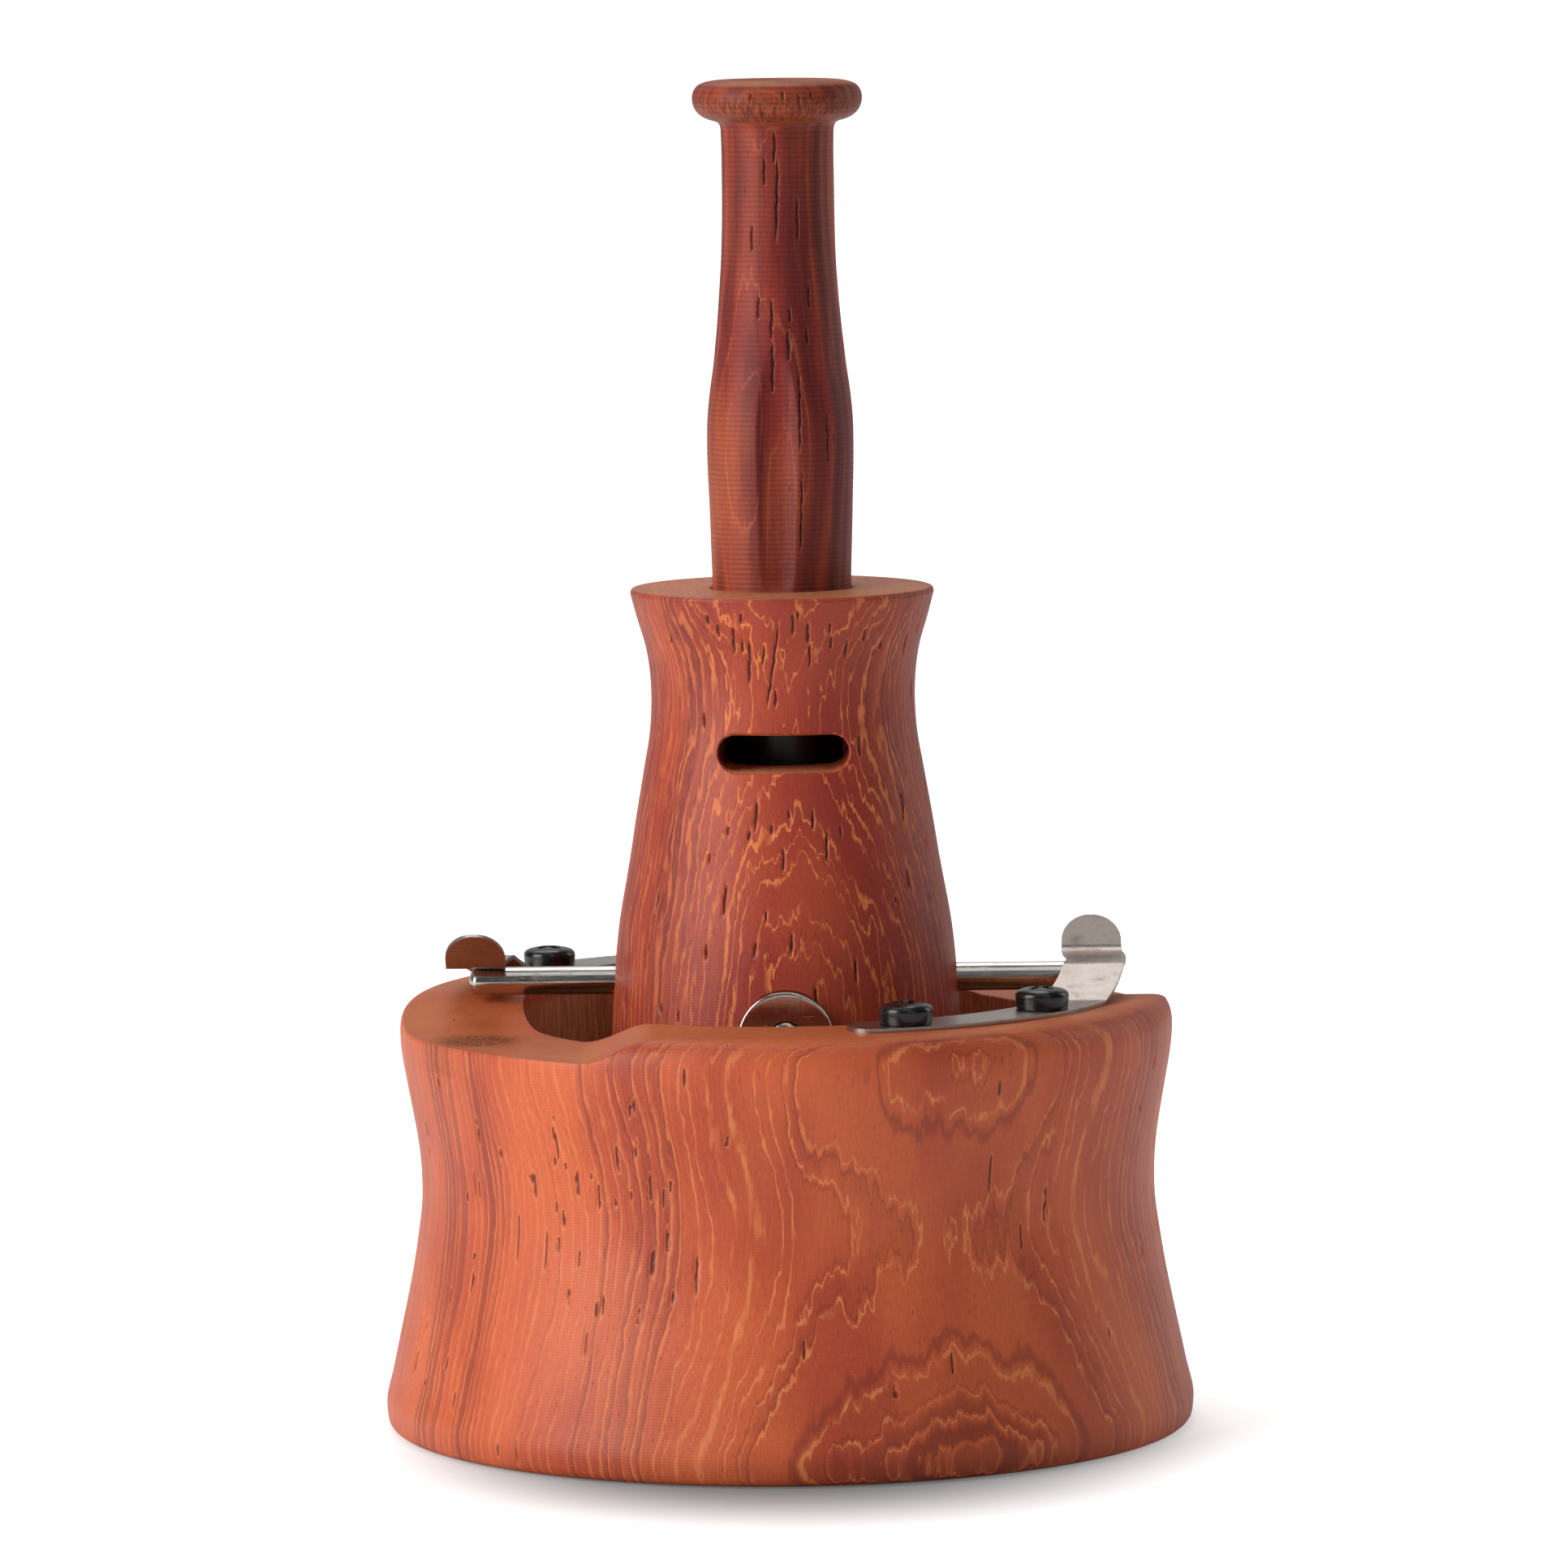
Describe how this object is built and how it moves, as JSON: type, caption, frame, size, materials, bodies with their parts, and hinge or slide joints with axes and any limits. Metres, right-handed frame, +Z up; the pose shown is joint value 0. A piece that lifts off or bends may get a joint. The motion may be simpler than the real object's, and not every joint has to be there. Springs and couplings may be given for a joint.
{
  "type": "duck call",
  "caption": "Turned wooden reed duck call with a pull-out mouthpiece, locked by a cross rod under two spring strips on a waisted round stand.",
  "frame": {"origin": "centre of the stand's underside, on the plane it stands on", "axes": "+Z up through the call and mouthpiece; -Y is the front, the side with the sound slot; +X is the right-hand strip"},
  "size_m": [0.086, 0.086, 0.1425],
  "materials": {
    "stand_wood": "satin oiled red-orange hardwood, open pores",
    "call_wood": "satin oiled red-orange hardwood, open pores",
    "stem_wood": "satin oiled dark red-brown hardwood, fine turning rings",
    "base_rubber": "matt black",
    "spring_steel": "brushed spring steel",
    "rod_steel": "ground steel rod",
    "plated_disc": "bright nickel plating",
    "black_screw": "black oxide",
    "seal_rubber": "matt black",
    "board_plastic": "moulded black",
    "reed_film": "translucent film, frosted",
    "cork": "cork, fine grain"
  },
  "bodies": {
    "stand": {"stand_body": "stand_wood", "base_pad": "base_rubber", "right_strip_base": "spring_steel", "left_strip_base": "spring_steel", "right_strip_front_screw": "black_screw", "right_strip_rear_screw": "black_screw", "left_strip_front_screw": "black_screw", "left_strip_rear_screw": "black_screw"},
    "right_tongue": {"right_strip_tongue": "spring_steel"},
    "left_tongue": {"left_strip_tongue": "spring_steel"},
    "call": {"call_body": "call_wood", "crossrod": "rod_steel", "front_disc": "plated_disc", "front_disc_screw": "plated_disc"},
    "mouthpiece": {"mouthpiece": "stem_wood", "upper_oring": "seal_rubber", "lower_oring": "seal_rubber", "tone_board": "board_plastic", "reed": "reed_film", "reed_wedge": "cork"}
  },
  "joints": [
    {"name": "call_turn", "type": "hinge", "parent": "stand", "child": "call", "pos_m": [0, 0, 0.04735], "axis": [0, 0, 1], "range_deg": [0, 90]},
    {"name": "mouthpiece_pull", "type": "slide", "parent": "call", "child": "mouthpiece", "axis": [0, 0, 1], "range_m": [0, 0.012]},
    {"name": "right_tongue_flex", "type": "hinge", "parent": "stand", "child": "right_tongue", "pos_m": [0.02978, -0.01397, 0.04603], "axis": [1, 0, 0], "range_deg": [0, 6], "stiffness_Nm_per_rad": 0.3},
    {"name": "left_tongue_flex", "type": "hinge", "parent": "stand", "child": "left_tongue", "pos_m": [-0.02901, 0.01551, 0.04603], "axis": [-0.9986, 0.0523, 0], "range_deg": [0, 6], "stiffness_Nm_per_rad": 0.3}
  ]
}
